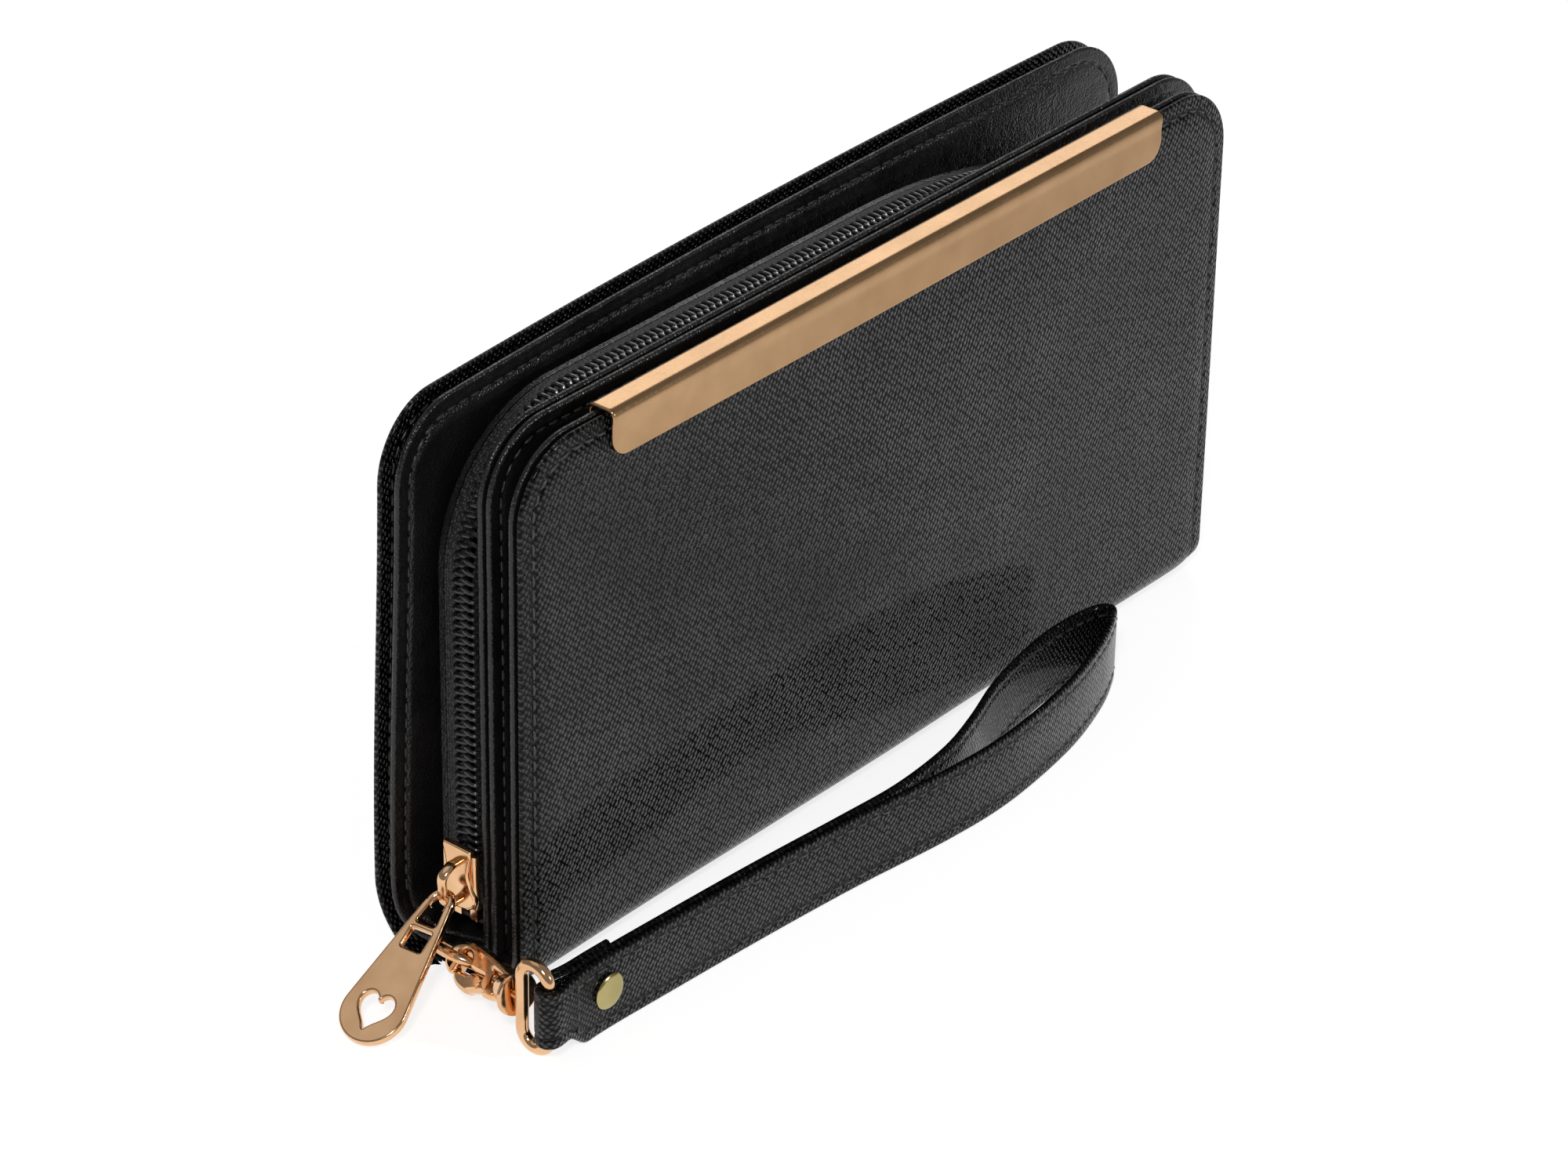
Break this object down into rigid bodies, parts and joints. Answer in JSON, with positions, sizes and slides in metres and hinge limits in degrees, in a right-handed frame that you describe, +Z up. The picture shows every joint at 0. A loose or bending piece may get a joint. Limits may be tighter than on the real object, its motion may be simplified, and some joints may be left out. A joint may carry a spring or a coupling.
{
  "type": "wristlet wallet",
  "caption": "Flat leather-look wallet standing on its spine: two hinged covers, a zipped middle pouch, a metal trim bar and a wrist strap on a snap hook.",
  "frame": {"origin": "middle of the flat underside of the spine, on the table", "axes": "+X along the wallet to the right, the front cover faces -Y, +Z up from spine to opening"},
  "size_m": [0.2336, 0.0561, 0.11],
  "materials": {
    "saffiano": "glossy cross-hatched",
    "lining": "smooth satin",
    "strap_leather": "glossy cross-hatched",
    "board": "matt cardboard",
    "tape": "woven",
    "coil": "nylon",
    "trim_gold": "polished rose gold",
    "gold": "polished plating",
    "rivet_gold": "brushed pale gold"
  },
  "bodies": {
    "root": {"spine_cover": "saffiano", "spine_board": "board", "front_section_floor": "lining", "back_section_floor": "lining", "front_fold_skin": "saffiano", "front_fold_lining": "lining", "back_fold_skin": "saffiano", "back_fold_lining": "lining", "mid_front_panel": "lining", "mid_board": "board", "mid_back_panel": "lining", "pouch_back_wall": "lining", "pouch_floor": "lining", "pouch_end_gusset": "lining", "zip_tape_front": "tape", "zip_tape_back": "tape", "zip_coil_front": "coil", "zip_coil_back": "coil", "zip_top_stops": "gold", "zip_bottom_stop": "gold", "ring_tab": "lining"},
    "front_cover": {"front_cover_outer": "saffiano", "front_cover_board": "board", "front_cover_lining": "lining", "trim_bar": "trim_gold"},
    "back_cover": {"back_cover_outer": "saffiano", "back_cover_board": "board", "back_cover_lining": "lining"},
    "slider": {"slider_body": "gold", "slider_bail": "gold"},
    "pull": {"pull_tab": "gold"},
    "ring": {"d_ring": "gold"},
    "clasp": {"clasp_hook": "gold", "gate_pin": "gold", "gate_spring": "gold"},
    "gate": {"clasp_gate": "gold"},
    "swivel": {"swivel_ring": "gold", "swivel_stud": "gold"},
    "strap": {"wrist_strap": "strap_leather", "strap_rivet": "rivet_gold"}
  },
  "joints": [
    {"name": "front_cover_hinge", "type": "hinge", "parent": "root", "child": "front_cover", "pos_m": [0, -0.01395, 0.00205], "axis": [1, 0, 0], "range_deg": [0, 23], "deforming": ["front_fold_skin", "front_fold_lining"]},
    {"name": "back_cover_hinge", "type": "hinge", "parent": "root", "child": "back_cover", "pos_m": [0, 0.01163, 0.00337], "axis": [-1, 0, 0], "range_deg": [0, 90], "deforming": ["back_fold_skin", "back_fold_lining"]},
    {"name": "zip_slide", "type": "slide", "parent": "root", "child": "slider", "axis": [0, 0, 1], "range_m": [0, 0.05], "deforming": ["zip_coil_front", "zip_coil_back"]},
    {"name": "pull_hinge", "type": "hinge", "parent": "slider", "child": "pull", "pos_m": [-0.1034, -0.0007, 0.0173], "axis": [-0.1219, 0.9925, 0], "range_deg": [0, 120]},
    {"name": "ring_hinge", "type": "hinge", "parent": "root", "child": "ring", "pos_m": [-0.1018, -0.004, 0.0046], "axis": [0, 1, 0], "range_deg": [-24, 24]},
    {"name": "clasp_swing", "type": "hinge", "parent": "ring", "child": "clasp", "pos_m": [-0.10551, -0.00853, 0.0072], "axis": [-0.5792, 0.7071, 0.4056], "range_deg": [-40, 0]},
    {"name": "gate_hinge", "type": "hinge", "parent": "clasp", "child": "gate", "pos_m": [-0.10771, -0.01348, 0.00647], "axis": [0.7793, -0.2625, -0.569], "range_deg": [0, 10]},
    {"name": "strap_swivel", "type": "hinge", "parent": "clasp", "child": "swivel", "pos_m": [-0.1103, -0.0284, 0.0098], "axis": [0.2326, 0.9643, -0.1264], "range_deg": [0, 180]},
    {"name": "strap_swing", "type": "hinge", "parent": "swivel", "child": "strap", "pos_m": [-0.1103, -0.0316, 0.0098], "axis": [0, 0, 1], "range_deg": [-150, 0]}
  ]
}
